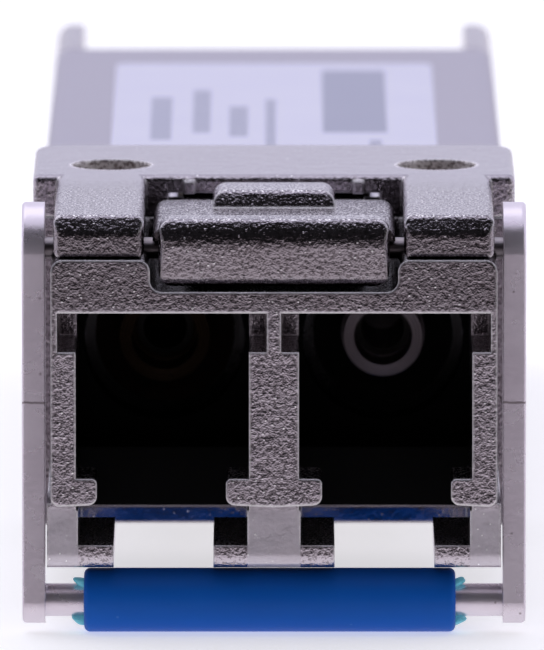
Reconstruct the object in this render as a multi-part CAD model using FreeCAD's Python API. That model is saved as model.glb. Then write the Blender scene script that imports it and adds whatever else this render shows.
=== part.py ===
import FreeCAD, Part
import math
import os

# Pluggable duplex optical transceiver module with a bail-released latch.
#
# The module lies with its latch side up.  Millimetres, +Z up, +Y into the host cage.
# The origin is at mid-width, on the flat face opposite the latch, in the plane of the
# flange's rear face, which is where the module stops against the cage.
# Depths in the nose are counted from the front of the bezel with behind().

# --- driving dimensions ------------------------------------------------------------------
OVERALL_LENGTH = 56.5
NOSE_LENGTH = 15.8            # bezel front to the flange's rear face
BODY_HALF = 6.7               # the body is 13.4 wide
BODY_TOP = 8.5
FLANGE_HALF = 6.85            # the flange is 13.7 wide
FLANGE_TOP = 10.05
FLANGE_FRONT = 9.0            # depth of the flange's front face
COVER_REAR = 34.4
LABEL_HALF = 4.8
LABEL_FRONT = 8.9
LABEL_REAR = 30.3
FLOOR = 0.52                  # thickness of the base's floor
CAVITY_HALF = 5.6
WALL_HALF = 6.33              # outside of the base's walls under the cover's skirts
SKIRT_BOTTOM = 3.2
COVER_PLATE = 0.4
GAP = 0.02                    # assembly gap between fitted pieces

# Bezel and ports
NOSE_HALF = 6.25
NOSE_TOP = 8.85
PARTING = 8.87
PORT_X = 3.125
PORT_HALF = 2.425
PORT_FLOOR = 2.67
PORT_ROOF = 7.35
PORT_AXIS = 5.0
STRIP_TOP = 7.95              # top of the strip above the ports, floor of the lever's recess
RECESS_HALF = 3.47
FOOT_BOTTOM = 1.87
FOOT_DEPTH = 2.2
FOOT_OUTER = 4.96             # inner edge of an outer foot
FOOT_CENTRE = 1.345           # half-width of the centre foot
COLUMN_SETBACK = 0.7
BELLY_HALF = 6.37             # the nose is a little wider below the feet
BELLY_ROUND = 0.42
COLUMN_OUTER = 5.5
COLUMN_CENTRE = 0.745
CHANNEL_REAR = 9.3
SLOT_INNER = 1.7
SLOT_OUTER = 4.5
LIP_TOP = 0.68                # lips beside the slots stand above the floor
LIP_REAR = 6.0
NOTCH_FLOOR = 6.25
NOTCH_DEPTH = 3.3
NOTCH_WIDTH = 0.53
NOTCH_INNER = 0.2
NOTCH_OUTER = 5.54

# Lugs of the upper casting
LUG_INNER = 3.64
LUG_OUTER = 6.17
LUG_FRONT = 0.3

# Latch
CAM_DEPTH = 2.4               # depth of the bail's pivot pin
CAM_PIN_R = 0.30
PIVOT_DEPTH = 10.6            # depth of the lever's own pivot
PIVOT_PIN_R = 0.35
RUNNING = 0.03                # radial running clearance
ROCK_DEG = 3.6                # lever rock when the bail is swung through a quarter turn
CAM_HALF = 2.2
FOLLOWER_Z = 9.30             # flat underside of the lever above the cam
CAM_GAP = 0.012
PAD_HALF = 3.23
PAD_BOTTOM = 8.04
PAD_TOP = 9.95
PAD_FRONT = 0.2
PAD_REAR = 1.25
SHOULDER_HALF = 3.40
SHOULDER_TOP = 9.62
SHOULDER_REAR = 7.0
RAIL_INNER = 2.75             # rails along the shoulder's sides, above the pin
RAIL_BOTTOM = 9.23
HUMP_HALF = 1.73
HUMP_TOP = 10.1
HUMP_FRONT = 5.2
HUMP_REAR = 7.1
ARM_HALF = 2.6
HUB_R = 0.62
TONGUE_TOP = 8.45
TONGUE_BOTTOM = 7.75
TONGUE_REAR = 5.2
TUNNEL_HALF = 3.0
TUNNEL_ROOF = 9.55
BOSS_FRONT = 2.5
BOSS_LENGTH = 2.6
BOSS_HALF = 1.3
BOSS_PROUD = 0.45

# Bail
ARM_INNER = 6.43
ARM_OUTER = 7.07
ARM_TOP_R = 1.3
ARM_END_R = 0.65
BAR_DEPTH = 1.8
BAR_Z = -1.03
BAR_R = 0.46
SLEEVE_R = 0.90
SLEEVE_LEFT = -5.34
SLEEVE_RIGHT = 5.10

# Screws that hold the upper casting down
SCREW_X = 4.64
SCREW_DEPTH = 11.3
SCREW_RECESS_R = 1.125
SCREW_HEAD_R = 1.0
SCREW_SHANK_R = 0.6
SCREW_SEAT = 9.1              # bottom of the recesses
SCREW_HEAD_TOP = 9.6

# Optical sub-assemblies
RING_Y = -3.8                 # front faces of the two barrels
BARREL_R = 2.0
BARREL_SHOULDER = -2.9
BARREL_REAR = 5.8
SLEEVE_BORE_R = 0.625
SLEEVE_OUTER_R = 0.80
SLEEVE_FRONT = -2.0
SLEEVE_REAR = 2.3
SPLIT_WIDTH = 0.2
CAN_R = 2.4
CAN_REAR = 10.4
GROOVE_FRONT = 3.0
GROOVE_REAR = 4.2
GROOVE_R = 1.6
PEDESTAL_TOP = 5.2            # the lever's spring stands on it
SPRING_Y = 3.7

# Board
BOARD_BOTTOM = 5.25
BOARD_TOP = 6.25
BOARD_FRONT = 11.5
BOARD_HALF = 5.5
NECK_HALF = 4.6
NECK_FRONT = 33.4
BOARD_REAR = 39.2
CONTACT_PITCH = 0.8
CONTACTS_PER_SIDE = 10
DRIVER_HEIGHT = 0.85

# Shielding collar
COLLAR_FRONT = 0.35
COLLAR_REAR = 8.65
COLLAR_SEAT = 0.15
COLLAR_SHEET = 0.12
COLLAR_BAND = 0.6
FINGER_BULGE = 0.62
FINGER_WIDTH = 1.5

FRONT_Y = -NOSE_LENGTH
REAR_Y = OVERALL_LENGTH - NOSE_LENGTH
AXIS_X = FreeCAD.Vector(1, 0, 0)
AXIS_Y = FreeCAD.Vector(0, 1, 0)
AXIS_Z = FreeCAD.Vector(0, 0, 1)


def behind(depth):
    """Y of a plane a given depth behind the bezel's front."""
    return FRONT_Y + depth


CAM_Y = behind(CAM_DEPTH)
PIVOT_Y = behind(PIVOT_DEPTH)


# --- shape helpers -----------------------------------------------------------------------
def block(x0, x1, y0, y1, z0, z1):
    """Box between two opposite corners."""
    return Part.makeBox(x1 - x0, y1 - y0, z1 - z0, FreeCAD.Vector(x0, y0, z0))


def both_sides(x0, x1, y0, y1, z0, z1):
    """The box and its mirror image across the middle plane."""
    return block(x0, x1, y0, y1, z0, z1).fuse(block(-x1, -x0, y0, y1, z0, z1))


def mirrored(shape):
    """The shape with its mirror image across the middle plane."""
    return shape.fuse(shape.mirror(FreeCAD.Vector(0, 0, 0), AXIS_X))


def rod(radius, x0, x1, y, z):
    """Cylinder along X."""
    return Part.makeCylinder(radius, x1 - x0, FreeCAD.Vector(x0, y, z), AXIS_X)


def barrel_length(radius, x, y0, y1, z):
    """Cylinder along Y."""
    return Part.makeCylinder(radius, y1 - y0, FreeCAD.Vector(x, y0, z), AXIS_Y)


def post(radius, x, y, z0, z1):
    """Cylinder along Z."""
    return Part.makeCylinder(radius, z1 - z0, FreeCAD.Vector(x, y, z0), AXIS_Z)


def corner_points(before, corner, after, radius):
    """Where a round of the given radius leaves both sides of a corner, and its middle point."""
    to_before = (before - corner).normalize()
    to_after = (after - corner).normalize()
    half = to_before.getAngle(to_after) / 2
    setback = radius / math.tan(half)
    inward = (to_before + to_after).normalize()
    centre = corner + inward * (radius / math.sin(half))
    return corner + to_before * setback, centre - inward * radius, corner + to_after * setback


def outline(corners, place):
    """Closed face through (u, v, round) corners; place(u, v) gives the point in space."""
    points = [place(corner[0], corner[1]) for corner in corners]
    count = len(points)
    edges = []
    start = None
    previous = None
    for index, corner in enumerate(corners):
        point = points[index]
        radius = corner[2] if len(corner) > 2 else 0
        if radius:
            first, middle, last = corner_points(points[index - 1], point, points[(index + 1) % count], radius)
        else:
            first = last = point
        if previous is not None and previous.distanceToPoint(first) > 1e-6:
            edges.append(Part.makeLine(previous, first))
        if radius:
            edges.append(Part.Arc(first, middle, last).toShape())
        if start is None:
            start = first
        previous = last
    if previous.distanceToPoint(start) > 1e-6:
        edges.append(Part.makeLine(previous, start))
    return Part.Face(Part.Wire(edges))


def prism_x(corners, x0, x1):
    """Outline in (y, z), extruded from x0 to x1."""
    face = outline(corners, lambda y, z: FreeCAD.Vector(x0, y, z))
    return face.extrude(FreeCAD.Vector(x1 - x0, 0, 0))


def prism_y(corners, y0, y1):
    """Outline in (x, z), extruded from y0 to y1."""
    face = outline(corners, lambda x, z: FreeCAD.Vector(x, y0, z))
    return face.extrude(FreeCAD.Vector(0, y1 - y0, 0))


def prism_z(corners, z0, z1):
    """Outline in (x, y), extruded from z0 to z1."""
    face = outline(corners, lambda x, y: FreeCAD.Vector(x, y, z0))
    return face.extrude(FreeCAD.Vector(0, 0, z1 - z0))


def round_rect(u0, u1, v0, v1, low_round, high_round):
    """Corners of a rectangle with one round on its lower and one on its upper corners."""
    return [(u0, v0, low_round), (u1, v0, low_round), (u1, v1, high_round), (u0, v1, high_round)]


def round_edges(shape, radius, wanted):
    """Fillet the edges whose bounding box passes the test."""
    edges = [edge for edge in shape.Edges if wanted(edge.BoundBox)]
    return shape.makeFillet(radius, edges)


def at_z(level):
    """Test for edges that lie in a plane of constant z."""
    return lambda box: abs(box.ZMin - level) < 1e-4 and abs(box.ZMax - level) < 1e-4


# --- castings and cover ------------------------------------------------------------------
def flange_plate(z0, z1):
    """The stop flange's outline between two heights, with rounder rear corners."""
    front = behind(FLANGE_FRONT)
    return prism_z([
        (-FLANGE_HALF, front, 0.2), (FLANGE_HALF, front, 0.2), (FLANGE_HALF, 0, 0.9), (-FLANGE_HALF, 0, 0.9),
    ], z0, z1)


def nose_blank():
    """Outside of the nose, before the ports are opened."""
    ear_round = 0.33
    upper = prism_y([
        (-NOSE_HALF, FOOT_BOTTOM), (NOSE_HALF, FOOT_BOTTOM),
        (NOSE_HALF, NOSE_TOP, ear_round), (RECESS_HALF, NOSE_TOP, ear_round),
        (RECESS_HALF, STRIP_TOP, ear_round), (-RECESS_HALF, STRIP_TOP, ear_round),
        (-RECESS_HALF, NOSE_TOP, ear_round), (-NOSE_HALF, NOSE_TOP, ear_round),
    ], FRONT_Y, behind(FLANGE_FRONT))
    lower = prism_x([
        (behind(COLUMN_SETBACK), 0, BELLY_ROUND), (behind(FLANGE_FRONT), 0),
        (behind(FLANGE_FRONT), FOOT_BOTTOM), (behind(COLUMN_SETBACK), FOOT_BOTTOM),
    ], -BELLY_HALF, BELLY_HALF)
    return upper.fuse(lower).fuse(flange_plate(0, NOSE_TOP))


def port_cuts():
    """Both ports, their corner notches and the latch channels under them."""
    front = FRONT_Y - 1
    ports = both_sides(PORT_X - PORT_HALF, PORT_X + PORT_HALF, front, behind(CHANNEL_REAR) + 1,
                       PORT_FLOOR - 1, PORT_ROOF)
    undercut = block(-7, 7, front, behind(COLUMN_SETBACK), -1, PORT_FLOOR - 0.2)
    rear = behind(CHANNEL_REAR)
    channels = both_sides(COLUMN_CENTRE, COLUMN_OUTER, front, rear, LIP_TOP, PORT_FLOOR + 0.1)
    windows = both_sides(COLUMN_CENTRE, COLUMN_OUTER, behind(LIP_REAR), rear, -1, LIP_TOP + 0.1)
    slots = both_sides(SLOT_INNER, SLOT_OUTER, front, rear, -1, LIP_TOP + 0.1)
    cuts = [undercut, channels, windows, slots]
    for inner in (NOTCH_INNER, NOTCH_OUTER):
        outer = inner + NOTCH_WIDTH
        cuts.append(both_sides(inner, outer, front, behind(NOTCH_DEPTH), NOTCH_FLOOR, PORT_ROOF))
    return ports.fuse(cuts)


def feet():
    """Catch lips at the bottom of the ports, which the plug's latch shoulders snap behind."""
    corner = 0.25
    top_corner = 0.15
    tip = FOOT_BOTTOM + 0.06
    low = behind(0)
    high = behind(FOOT_DEPTH)
    outer = prism_y([
        (FOOT_OUTER, tip, corner), (NOSE_HALF, FOOT_BOTTOM, corner),
        (NOSE_HALF, PORT_FLOOR), (FOOT_OUTER, PORT_FLOOR, top_corner),
    ], low, high)
    centre = prism_y([
        (-FOOT_CENTRE, tip, corner), (0, FOOT_BOTTOM), (FOOT_CENTRE, tip, corner),
        (FOOT_CENTRE, PORT_FLOOR, top_corner), (-FOOT_CENTRE, PORT_FLOOR, top_corner),
    ], low, high)
    return mirrored(outer).fuse(centre)


def tub():
    """The base's rear part: floor, walls, board ledges and the two rear arms."""
    arm_inner = 5.85
    floor_rear = 38.0
    wall = both_sides(CAVITY_HALF, WALL_HALF, 0, COVER_REAR + 0.5, 0, BODY_TOP - COVER_PLATE - 0.05)
    thick_wall = both_sides(CAVITY_HALF, BODY_HALF, 0, COVER_REAR + 0.5, 0, SKIRT_BOTTOM - 0.05)
    floor = block(-BODY_HALF, BODY_HALF, 0, floor_rear, 0, FLOOR)
    ledge_top = BOARD_BOTTOM - GAP
    ledge = both_sides(CAVITY_HALF - 0.5, CAVITY_HALF, BOARD_FRONT + 1.5, NECK_FRONT - 0.6, 4.2, ledge_top)
    arm = prism_x([
        (COVER_REAR + 0.05, 0), (REAR_Y, 0, 0.8), (REAR_Y, BODY_TOP, 0.3), (COVER_REAR + 0.05, BODY_TOP, 0.2),
    ], arm_inner, BODY_HALF)
    arm = arm.common(prism_y([
        (arm_inner, 0), (BODY_HALF, 0, 0.2), (BODY_HALF, BODY_TOP, 0.5), (arm_inner, BODY_TOP, 0.15),
    ], COVER_REAR, REAR_Y))
    return wall.fuse([thick_wall, floor, ledge, mirrored(arm)])


def collar_seat():
    """Ring of material removed so that the shielding collar lies flush."""
    outer = block(-8, 8, COLLAR_FRONT - 0.1, COLLAR_REAR + 0.1, -1, BODY_TOP + 1)
    inner = block(-BODY_HALF + COLLAR_SEAT, BODY_HALF - COLLAR_SEAT, -1, COLLAR_REAR + 1,
                  COLLAR_SEAT, BODY_TOP - COLLAR_SEAT)
    return outer.cut(inner)


def base_housing():
    """Lower casting: bezel, nose and tub in one piece."""
    body = nose_blank().cut(port_cuts()).fuse(feet())
    nose_cavity = block(-CAVITY_HALF, CAVITY_HALF, behind(CHANNEL_REAR), 1, FLOOR, PORT_ROOF)
    tunnel = block(-TUNNEL_HALF, TUNNEL_HALF, behind(FLANGE_FRONT) - 0.1, 1, STRIP_TOP, NOSE_TOP + 1)
    tongue_well = block(-TUNNEL_HALF, TUNNEL_HALF, behind(11.8), 1, PORT_ROOF - 0.1, NOSE_TOP + 1)
    cam_grooves = rod(CAM_PIN_R + RUNNING, -NOSE_HALF - 1, NOSE_HALF + 1, CAM_Y, PARTING)
    pivot_groove = rod(PIVOT_PIN_R, -TUNNEL_HALF - 0.8, TUNNEL_HALF + 0.8, PIVOT_Y, PARTING)
    screw_hole = post(SCREW_SHANK_R + GAP, SCREW_X, behind(SCREW_DEPTH), PORT_ROOF + 0.1, NOSE_TOP + 1)
    cuts = [tunnel, tongue_well, cam_grooves, pivot_groove, mirrored(screw_hole)]
    body = body.cut(nose_cavity.fuse(cuts))
    return body.fuse(tub()).cut(collar_seat()).removeSplitter()


def leaning_front(front, rear, bottom, top, bottom_round, tuck=0, bulge=0.5):
    """Solid in side view: a front that leans back near its top, then rounds over.

    The tuck is how far the front recedes at its foot, and the bulge is the round between the
    leaning part and the rest.
    """
    lean_height = min(0.5, 0.45 * (top - bottom))
    return prism_x([
        (front + tuck, bottom, bottom_round), (rear, bottom), (rear, top),
        (front + 0.48 * lean_height, top, 0.16), (front, top - lean_height, bulge),
    ], -BODY_HALF, BODY_HALF)


def lug():
    """Right-hand lug of the upper casting, with rounded edges and a leaning front."""
    inner = LUG_INNER
    outer = LUG_OUTER
    front = behind(LUG_FRONT)
    rear = behind(FLANGE_FRONT) + 0.2
    face = prism_y(round_rect(inner, outer, PARTING, FLANGE_TOP, 0.2, 0.25), front, rear)
    plan = prism_z(round_rect(inner, outer, front, rear, 0.25, 0), PARTING, FLANGE_TOP)
    return leaning_front(front, rear, PARTING, FLANGE_TOP, 0.12).common(face).common(plan)


def latch_housing():
    """Upper casting: stop flange, lugs beside the lever and the recesses for its two screws."""
    flange = round_edges(flange_plate(PARTING, FLANGE_TOP), 0.18, at_z(FLANGE_TOP))
    rib = both_sides(2.25, 2.55, behind(FLANGE_FRONT) - 0.25, behind(FLANGE_FRONT) + 0.1, TUNNEL_ROOF, 9.9)
    body = flange.fuse([mirrored(lug()), rib])
    tunnel = block(-TUNNEL_HALF, TUNNEL_HALF, behind(FLANGE_FRONT) - 0.3, 1, PARTING - 1, TUNNEL_ROOF)
    cam_grooves = rod(CAM_PIN_R + RUNNING, -NOSE_HALF - 1, NOSE_HALF + 1, CAM_Y, PARTING)
    pivot_groove = rod(PIVOT_PIN_R, -TUNNEL_HALF - 0.8, TUNNEL_HALF + 0.8, PIVOT_Y, PARTING)
    recess = post(SCREW_RECESS_R, SCREW_X, behind(SCREW_DEPTH), SCREW_SEAT, FLANGE_TOP + 1)
    shank = post(SCREW_SHANK_R + GAP, SCREW_X, behind(SCREW_DEPTH), PARTING - 1, FLANGE_TOP)
    return body.cut(tunnel.fuse([cam_grooves, pivot_groove, mirrored(recess.fuse(shank))])).removeSplitter()


def top_cover():
    """Formed cover over the tub, with a window for the lever's tongue."""
    section = round_rect(-BODY_HALF, BODY_HALF, SKIRT_BOTTOM, BODY_TOP, 0, 0.45)
    outer = prism_y(section, 0.05, COVER_REAR - 0.05)
    inner = block(-WALL_HALF - GAP, WALL_HALF + GAP, -1, COVER_REAR + 1, 0, BODY_TOP - COVER_PLATE)
    window = prism_z(round_rect(-ARM_HALF - 0.2, ARM_HALF + 0.2, -1, TONGUE_REAR + 0.3, 0, 0.4), 7, 9)
    return outer.cut(inner.fuse([window, collar_seat()]))


def label():
    """Thin rating label with no print."""
    corner = 0.4
    sheet = 0.06
    return prism_z(round_rect(-LABEL_HALF, LABEL_HALF, LABEL_FRONT, LABEL_REAR, corner, corner),
                   BODY_TOP, BODY_TOP + sheet)


def housing_screws():
    """Two pan-head screws with a cross recess, through the upper casting into the base."""
    head_bottom = SCREW_SEAT + GAP
    drive_floor = SCREW_HEAD_TOP - 0.25
    drive_half = 0.55
    slot_half = 0.11
    screws = []
    for side in (-1, 1):
        x = side * SCREW_X
        y = behind(SCREW_DEPTH)
        head = post(SCREW_HEAD_R, x, y, head_bottom, SCREW_HEAD_TOP)
        head = round_edges(head, 0.15, at_z(SCREW_HEAD_TOP))
        shank = post(SCREW_SHANK_R, x, y, PORT_ROOF + 0.15, head_bottom)
        above = SCREW_HEAD_TOP + 1
        across = block(x - drive_half, x + drive_half, y - slot_half, y + slot_half, drive_floor, above)
        along = block(x - slot_half, x + slot_half, y - drive_half, y + drive_half, drive_floor, above)
        screws.append(head.fuse(shank).cut(across.fuse(along)))
    return Part.makeCompound(screws)


# --- latch -------------------------------------------------------------------------------
def locking_boss():
    """Triangular boss that locks in the cage's hole, ramped towards the rear."""
    top = BODY_TOP + BOSS_PROUD
    rear = BOSS_FRONT + BOSS_LENGTH
    plan = prism_z([
        (-BOSS_HALF, BOSS_FRONT, 0.1), (BOSS_HALF, BOSS_FRONT, 0.1), (0, rear, 0.25),
    ], TONGUE_TOP - 0.2, top)
    ramp_start = BOSS_FRONT + 1.0
    ramp_end = rear + 0.2
    ramp = prism_x([
        (ramp_start, top), (ramp_end, TONGUE_TOP - 0.02), (ramp_end, top + 1), (ramp_start, top + 1),
    ], -2, 2)
    return plan.cut(ramp)


def latch_lever():
    """Rocking lever: finger pad, shoulder plate over the cam, hump, hub and locking tongue."""
    pad_front = behind(PAD_FRONT)
    pad_rear = behind(PAD_REAR)
    pad = leaning_front(pad_front, pad_rear, PAD_BOTTOM, PAD_TOP, 0.35, tuck=0.12, bulge=1.2)
    pad_face = round_rect(-PAD_HALF, PAD_HALF, PAD_BOTTOM, PAD_TOP, 0.45, 0.4)
    pad_plan = round_rect(-PAD_HALF, PAD_HALF, pad_front, pad_rear, 0.25, 0)
    pad = pad.common(prism_y(pad_face, pad_front, pad_rear)).common(prism_z(pad_plan, PAD_BOTTOM, PAD_TOP))
    shoulder_front = behind(PAD_REAR) - 0.1
    shoulder_rear = behind(SHOULDER_REAR)
    shoulder = prism_y([
        (-SHOULDER_HALF, RAIL_BOTTOM), (-RAIL_INNER, RAIL_BOTTOM),
        (-RAIL_INNER, FOLLOWER_Z), (RAIL_INNER, FOLLOWER_Z),
        (RAIL_INNER, RAIL_BOTTOM), (SHOULDER_HALF, RAIL_BOTTOM),
        (SHOULDER_HALF, SHOULDER_TOP, 0.35), (-SHOULDER_HALF, SHOULDER_TOP, 0.35),
    ], shoulder_front, shoulder_rear)
    shoulder = shoulder.common(prism_z([
        (-SHOULDER_HALF, shoulder_front, 0.1), (SHOULDER_HALF, shoulder_front, 0.1),
        (SHOULDER_HALF, shoulder_rear, 0.6), (-SHOULDER_HALF, shoulder_rear, 0.6),
    ], RAIL_BOTTOM, SHOULDER_TOP))
    hump_face = round_rect(-HUMP_HALF, HUMP_HALF, FOLLOWER_Z - 0.2, HUMP_TOP, 0, 0.4)
    hump = prism_y(hump_face, behind(HUMP_FRONT), behind(HUMP_REAR))
    hump = hump.common(leaning_front(behind(HUMP_FRONT), behind(HUMP_REAR), FOLLOWER_Z - 0.2, HUMP_TOP, 0.1))
    arm_front = behind(3.7)
    arm_bottom = 8.3
    arm_top = 9.3
    arm_joins = SHOULDER_TOP - 0.05
    tongue_front = behind(14.6)
    arm = prism_x([
        (arm_front, arm_joins), (arm_front, arm_bottom, 0.2), (PIVOT_Y, arm_bottom),
        (tongue_front, TONGUE_BOTTOM), (TONGUE_REAR, TONGUE_BOTTOM), (TONGUE_REAR, TONGUE_TOP, 0.2),
        (tongue_front, TONGUE_TOP), (PIVOT_Y, arm_top), (behind(HUMP_REAR), arm_top, 0.2),
        (behind(HUMP_REAR), arm_joins),
    ], -ARM_HALF, ARM_HALF)
    hub = rod(HUB_R, -ARM_HALF, ARM_HALF, PIVOT_Y, PARTING)
    body = pad.fuse([shoulder, hump, arm, hub, locking_boss()])
    return body.cut(rod(PIVOT_PIN_R + RUNNING, -4, 4, PIVOT_Y, PARTING)).removeSplitter()


def follower_distance(bail_deg):
    """Distance from the pin's axis to the lever's flat underside when the bail has swung."""
    rock = math.radians(ROCK_DEG * bail_deg / 90.0)
    reach = PIVOT_DEPTH - CAM_DEPTH
    return (FOLLOWER_Z - PARTING) + reach * math.sin(rock) - CAM_GAP


def cam_profile():
    """Cam face: base circle plus a lobe that lifts the follower in proportion to the swing.

    The lobe is the envelope of the follower plane: at a swing, the plane's normal lies at that
    angle from +Z towards -Y in the pin's own frame, and the contact point follows from the
    plane's distance and its rate of change.
    """
    base_r = FOLLOWER_Z - PARTING - CAM_GAP
    steps = 12
    small = 0.01
    points = []
    for step in range(steps + 1):
        swing = 90.0 * step / steps
        normal_angle = math.radians(swing * (1 - ROCK_DEG / 90.0))
        distance = follower_distance(swing)
        rate = (follower_distance(swing + small) - distance) / (math.radians(small) * (1 - ROCK_DEG / 90.0))
        normal = FreeCAD.Vector(0, -math.sin(normal_angle), math.cos(normal_angle))
        along = FreeCAD.Vector(0, -math.cos(normal_angle), -math.sin(normal_angle))
        points.append(normal * distance + along * rate)
    lobe = Part.BSplineCurve()
    lobe.interpolate(points)
    tip = points[-1]
    tip_angle = math.atan2(tip.z, tip.y)
    tangent_angle = tip_angle + math.acos(base_r / tip.Length)
    tangent = FreeCAD.Vector(0, base_r * math.cos(tangent_angle), base_r * math.sin(tangent_angle))
    top = FreeCAD.Vector(0, 0, base_r)
    right = FreeCAD.Vector(0, base_r, 0)
    edges = [
        lobe.toShape(),
        Part.makeLine(tip, tangent),
        Part.Arc(tangent, right, top).toShape(),
        Part.makeLine(top, points[0]),
    ]
    return Part.Face(Part.Wire(edges))


def cam_pin():
    """The bail's pivot pin with its cam in the middle."""
    cam = cam_profile().extrude(AXIS_X * (2 * CAM_HALF))
    cam.translate(FreeCAD.Vector(-CAM_HALF, CAM_Y, PARTING))
    return rod(CAM_PIN_R, -ARM_OUTER, ARM_OUTER, CAM_Y, PARTING).fuse(cam)


def lever_pin():
    """Straight pin the lever rocks on, trapped between the two castings."""
    return rod(PIVOT_PIN_R, -TUNNEL_HALF - 0.7, TUNNEL_HALF + 0.7, PIVOT_Y, PARTING)


def lever_spring():
    """Coil spring between the retainer's pedestal and the lever's tongue."""
    wire_r = 0.125
    coil_r = 0.72
    low = PEDESTAL_TOP + wire_r + GAP
    high = TONGUE_BOTTOM - wire_r - GAP
    helix = Part.makeHelix((high - low) / 4.5, high - low, coil_r)
    start = Part.makeCircle(wire_r, FreeCAD.Vector(coil_r, 0, 0), AXIS_Y)
    coil = Part.Wire(helix).makePipeShell([Part.Wire(start)], True, True)
    coil.translate(FreeCAD.Vector(0, SPRING_Y, low))
    return coil


def bail_arm():
    """Right-hand arm: a flat strip that narrows from the pin to the crossbar."""
    top = FreeCAD.Vector(0, CAM_Y, PARTING)
    end = FreeCAD.Vector(0, behind(BAR_DEPTH), BAR_Z)
    along = (end - top).normalize()
    lean = math.asin((ARM_TOP_R - ARM_END_R) / (end - top).Length)
    corners = []
    for side in (1, -1):
        across = FreeCAD.Vector(0, -along.z * side, along.y * side)
        normal = across * math.cos(lean) + along * math.sin(lean)
        corners.append((top + normal * ARM_TOP_R, end + normal * ARM_END_R))
    (right_top, right_end), (left_top, left_end) = corners
    edges = [
        Part.makeLine(right_top, right_end),
        Part.Arc(right_end, end + along * ARM_END_R, left_end).toShape(),
        Part.makeLine(left_end, left_top),
        Part.Arc(left_top, top - along * ARM_TOP_R, right_top).toShape(),
    ]
    plate = Part.Face(Part.Wire(edges)).extrude(AXIS_X * (ARM_OUTER - ARM_INNER))
    plate.translate(AXIS_X * ARM_INNER)
    outer_edges = [edge for edge in plate.Edges if edge.BoundBox.XMin > ARM_OUTER - 1e-4]
    plate = plate.makeFillet(0.12, outer_edges)
    return plate.cut(rod(CAM_PIN_R, ARM_INNER - 1, ARM_OUTER + 1, CAM_Y, PARTING))


def bail_frame():
    """Two arms and the crossbar between them."""
    bar = rod(BAR_R, -ARM_INNER - 0.1, ARM_INNER + 0.1, behind(BAR_DEPTH), BAR_Z)
    return mirrored(bail_arm()).fuse(bar).removeSplitter()


def bail_sleeve():
    """Moulded grip on the crossbar."""
    grip = rod(SLEEVE_R, SLEEVE_LEFT, SLEEVE_RIGHT, behind(BAR_DEPTH), BAR_Z)
    ends = [edge for edge in grip.Edges if edge.BoundBox.XLength < 1e-4]
    grip = grip.makeFillet(0.18, ends)
    return grip.cut(rod(BAR_R, SLEEVE_LEFT - 1, SLEEVE_RIGHT + 1, behind(BAR_DEPTH), BAR_Z))


# --- optics ------------------------------------------------------------------------------
def lc_receptacle():
    """Moulded insert behind the ports, with a round opening for each barrel."""
    front = behind(CHANNEL_REAR) + GAP
    rear = behind(12.6)
    wall_front = behind(11.2)
    body = block(-CAVITY_HALF + GAP, CAVITY_HALF - GAP, front, rear, FLOOR + GAP, PORT_ROOF - GAP)
    for side in (-1, 1):
        x = side * PORT_X
        body = body.cut(block(x - PORT_HALF, x + PORT_HALF, front - 1, wall_front, 2.2, PORT_ROOF + 1))
        body = body.cut(barrel_length(BARREL_R + 0.3, x, front, rear + 1, PORT_AXIS))
    return body


def barrel(side, ring_r, mouth_r):
    """Metal barrel of an optical sub-assembly: ring at the mouth, shoulder and clamping groove."""
    x = side * PORT_X
    body = barrel_length(ring_r, x, RING_Y, BARREL_SHOULDER + 0.1, PORT_AXIS)
    body = body.fuse(barrel_length(BARREL_R, x, BARREL_SHOULDER, BARREL_REAR, PORT_AXIS))
    groove = barrel_length(3, x, GROOVE_FRONT, GROOVE_REAR, PORT_AXIS)
    groove = groove.cut(barrel_length(GROOVE_R, x, GROOVE_FRONT - 1, GROOVE_REAR + 1, PORT_AXIS))
    mouth = barrel_length(mouth_r, x, RING_Y - 1, SLEEVE_FRONT, PORT_AXIS)
    bore = barrel_length(SLEEVE_OUTER_R, x, RING_Y, SLEEVE_REAR + 0.1, PORT_AXIS)
    return body.cut(groove.fuse([mouth, bore]))


def split_sleeve(side):
    """Ceramic alignment sleeve with one lengthwise split."""
    x = side * PORT_X
    body = barrel_length(SLEEVE_OUTER_R, x, SLEEVE_FRONT, SLEEVE_REAR, PORT_AXIS)
    body = body.cut(barrel_length(SLEEVE_BORE_R, x, SLEEVE_FRONT - 1, SLEEVE_REAR + 1, PORT_AXIS))
    half = SPLIT_WIDTH / 2
    split = block(x - half, x + half, SLEEVE_FRONT - 1, SLEEVE_REAR + 1, PORT_AXIS, PORT_AXIS + 1)
    return body.cut(split)


def sub_assembly_can(side):
    """Sealed can behind a barrel."""
    x = side * PORT_X
    body = barrel_length(CAN_R, x, BARREL_REAR + GAP, CAN_REAR, PORT_AXIS)
    rim = barrel_length(CAN_R - 0.35, x, CAN_REAR, CAN_REAR + 0.12, PORT_AXIS)
    seam = barrel_length(CAN_R + 1, x, 8.6, 8.9, PORT_AXIS)
    seam = seam.cut(barrel_length(CAN_R - 0.2, x, 8, 9.5, PORT_AXIS))
    return body.cut(seam).fuse(rim)


def osa_retainer():
    """Bracket that clamps both barrels by their grooves and seats the lever's spring."""
    low = GROOVE_FRONT + GAP
    high = GROOVE_REAR - GAP
    body = block(-CAVITY_HALF + 0.1, CAVITY_HALF - 0.1, low, high, FLOOR + GAP, PORT_AXIS)
    pedestal = block(-1.05, 1.05, SPRING_Y - 0.95, SPRING_Y + 0.95, FLOOR + GAP, PEDESTAL_TOP)
    saddles = [barrel_length(GROOVE_R + GAP, side * PORT_X, low - 1, high + 1, PORT_AXIS) for side in (-1, 1)]
    return body.fuse(pedestal).cut(saddles[0].fuse(saddles[1]))


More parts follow.
